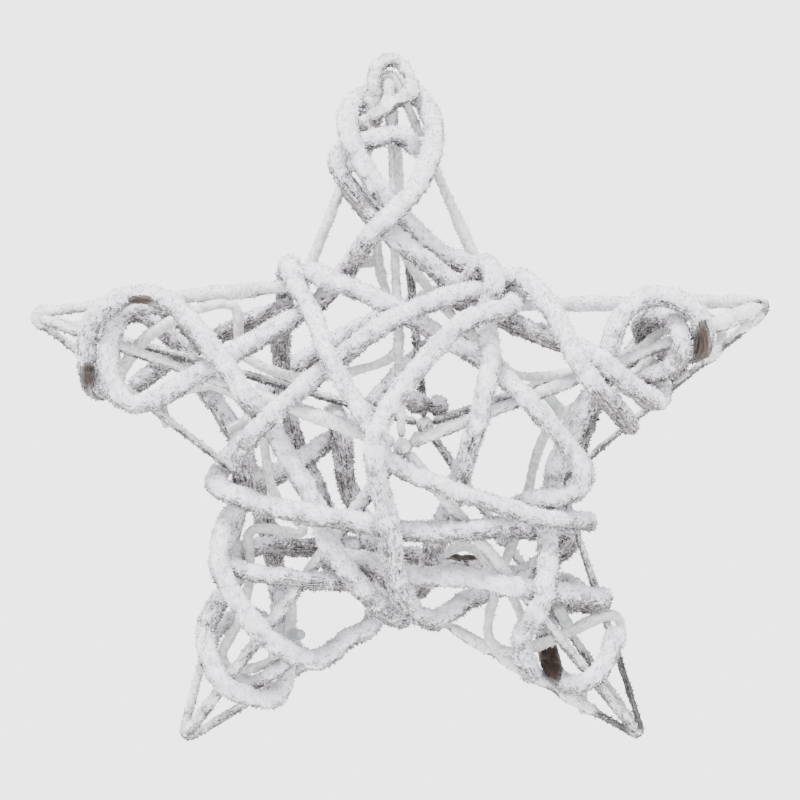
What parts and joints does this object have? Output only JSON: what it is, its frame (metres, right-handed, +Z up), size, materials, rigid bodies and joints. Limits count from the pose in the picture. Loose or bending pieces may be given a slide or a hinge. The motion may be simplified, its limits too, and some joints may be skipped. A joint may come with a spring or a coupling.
{
  "type": "led star light",
  "caption": "Hanging star of hand-wound flocked vines on a welded wire frame, domed front and back, with a string of small capped lights inside.",
  "frame": {"origin": "the bend of the outline wire at the top tip, which the star hangs by", "axes": "+Z up along the hanging star, -Y out of its front face, +X towards its right tip as seen from the front"},
  "size_m": [0.302, 0.1134, 0.2833],
  "materials": {
    "flocked_vine": "matt, flocked white over brown bark",
    "flocked_wire": "matt, flocked white",
    "cable_plastic": "smooth",
    "clear_cap_plastic": "milky, semi-gloss"
  },
  "bodies": {
    "root": {"back_hub": "flocked_wire", "back_wire_left": "flocked_wire", "back_wire_lower_left": "flocked_wire", "back_wire_lower_right": "flocked_wire", "back_wire_right": "flocked_wire", "back_wire_top": "flocked_wire", "front_hub": "flocked_wire", "front_wire_left": "flocked_wire", "front_wire_lower_left": "flocked_wire", "front_wire_lower_right": "flocked_wire", "front_wire_right": "flocked_wire", "front_wire_top": "flocked_wire", "hub_tie": "flocked_vine", "light_01": "clear_cap_plastic", "light_02": "clear_cap_plastic", "light_03": "clear_cap_plastic", "light_04": "clear_cap_plastic", "light_05": "clear_cap_plastic", "light_06": "clear_cap_plastic", "light_07": "clear_cap_plastic", "light_08": "clear_cap_plastic", "light_09": "clear_cap_plastic", "light_10": "clear_cap_plastic", "light_11": "clear_cap_plastic", "light_12": "clear_cap_plastic", "light_cable": "cable_plastic", "outline_wire": "flocked_wire", "tip_winding": "flocked_vine", "vine_arm_back": "flocked_vine", "vine_band": "flocked_vine", "vine_belt": "flocked_vine", "vine_bow": "flocked_vine", "vine_cross": "flocked_vine", "vine_foot": "flocked_vine", "vine_foot_inner": "flocked_vine", "vine_long": "flocked_vine", "vine_low": "flocked_vine", "vine_post": "flocked_vine", "vine_ribbon": "flocked_vine", "vine_ring": "flocked_vine", "vine_slope": "flocked_vine", "vine_stem": "flocked_vine", "vine_toe": "flocked_vine", "vine_turn": "flocked_vine", "vine_wide": "flocked_vine"}
  },
  "joints": []
}
